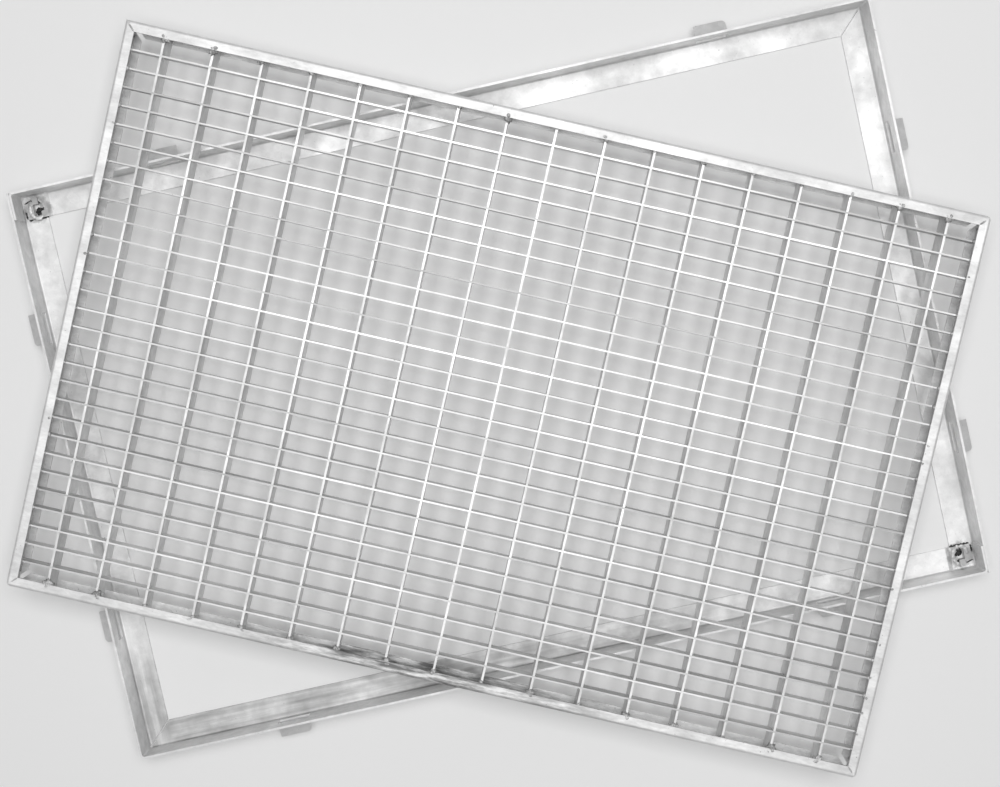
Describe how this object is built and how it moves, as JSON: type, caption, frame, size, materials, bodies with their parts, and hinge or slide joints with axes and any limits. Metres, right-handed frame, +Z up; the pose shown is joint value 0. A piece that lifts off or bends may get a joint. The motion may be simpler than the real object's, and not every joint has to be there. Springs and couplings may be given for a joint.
{
  "type": "steel grating with mounting frame",
  "caption": "Rectangular galvanised steel bar grating with folded edging, lying loose and crossed on its shallow angle mounting frame with anchor lugs.",
  "frame": {"origin": "middle of the mounting frame's clear opening, on the ground the frame stands on", "axes": "+Z up, out of the frame; +X along the frame's long side; +Y along its short side. The grating is turned 25.5 degrees clockwise from +X, seen from above"},
  "size_m": [0.6954, 0.6014, 0.0483],
  "materials": {
    "frame_zinc": "hot-dip galvanised sheet steel, pale satin grey with faint runs",
    "edging_zinc": "hot-dip galvanised folded strip, pale with dull mottled grey patches",
    "weld_zinc": "zinc-coated weld bead, smooth and bright",
    "bearing_bar_zinc": "hot-dip galvanised strip on edge, satin grey",
    "cross_bar_zinc": "hot-dip galvanised thin strip, satin grey with brighter top edges"
  },
  "bodies": {
    "mounting_frame": {"frame_half_a": "frame_zinc", "frame_half_b": "frame_zinc"},
    "grating": {"edge_long_rear": "edging_zinc", "edge_long_front": "edging_zinc", "edge_short_left": "edging_zinc", "edge_short_right": "edging_zinc", "corner_weld_rear_left": "weld_zinc", "corner_weld_front_left": "weld_zinc", "corner_weld_front_right": "weld_zinc", "corner_weld_rear_right": "weld_zinc", "bearing_bar_01": "bearing_bar_zinc", "bearing_bar_02": "bearing_bar_zinc", "bearing_bar_03": "bearing_bar_zinc", "bearing_bar_04": "bearing_bar_zinc", "bearing_bar_05": "bearing_bar_zinc", "bearing_bar_06": "bearing_bar_zinc", "bearing_bar_07": "bearing_bar_zinc", "bearing_bar_08": "bearing_bar_zinc", "bearing_bar_09": "bearing_bar_zinc", "bearing_bar_10": "bearing_bar_zinc", "bearing_bar_11": "bearing_bar_zinc", "bearing_bar_12": "bearing_bar_zinc", "bearing_bar_13": "bearing_bar_zinc", "bearing_bar_14": "bearing_bar_zinc", "bearing_bar_15": "bearing_bar_zinc", "bearing_bar_16": "bearing_bar_zinc", "bearing_bar_17": "bearing_bar_zinc", "cross_bar_01": "cross_bar_zinc", "cross_bar_02": "cross_bar_zinc", "cross_bar_03": "cross_bar_zinc", "cross_bar_04": "cross_bar_zinc", "cross_bar_05": "cross_bar_zinc", "cross_bar_06": "cross_bar_zinc", "cross_bar_07": "cross_bar_zinc", "cross_bar_08": "cross_bar_zinc", "cross_bar_09": "cross_bar_zinc", "cross_bar_10": "cross_bar_zinc", "cross_bar_11": "cross_bar_zinc", "cross_bar_12": "cross_bar_zinc", "cross_bar_13": "cross_bar_zinc", "cross_bar_14": "cross_bar_zinc", "cross_bar_15": "cross_bar_zinc", "cross_bar_16": "cross_bar_zinc", "cross_bar_17": "cross_bar_zinc", "cross_bar_18": "cross_bar_zinc", "cross_bar_19": "cross_bar_zinc", "cross_bar_20": "cross_bar_zinc", "cross_bar_21": "cross_bar_zinc", "cross_bar_22": "cross_bar_zinc", "cross_bar_23": "cross_bar_zinc", "cross_bar_24": "cross_bar_zinc", "cross_bar_25": "cross_bar_zinc", "cross_bar_26": "cross_bar_zinc", "cross_bar_27": "cross_bar_zinc", "cross_bar_28": "cross_bar_zinc", "cross_bar_29": "cross_bar_zinc"}
  },
  "joints": [
    {"name": "grating_lift", "type": "slide", "parent": "mounting_frame", "child": "grating", "axis": [0, 0, 1], "range_m": [0, 0.12]}
  ]
}
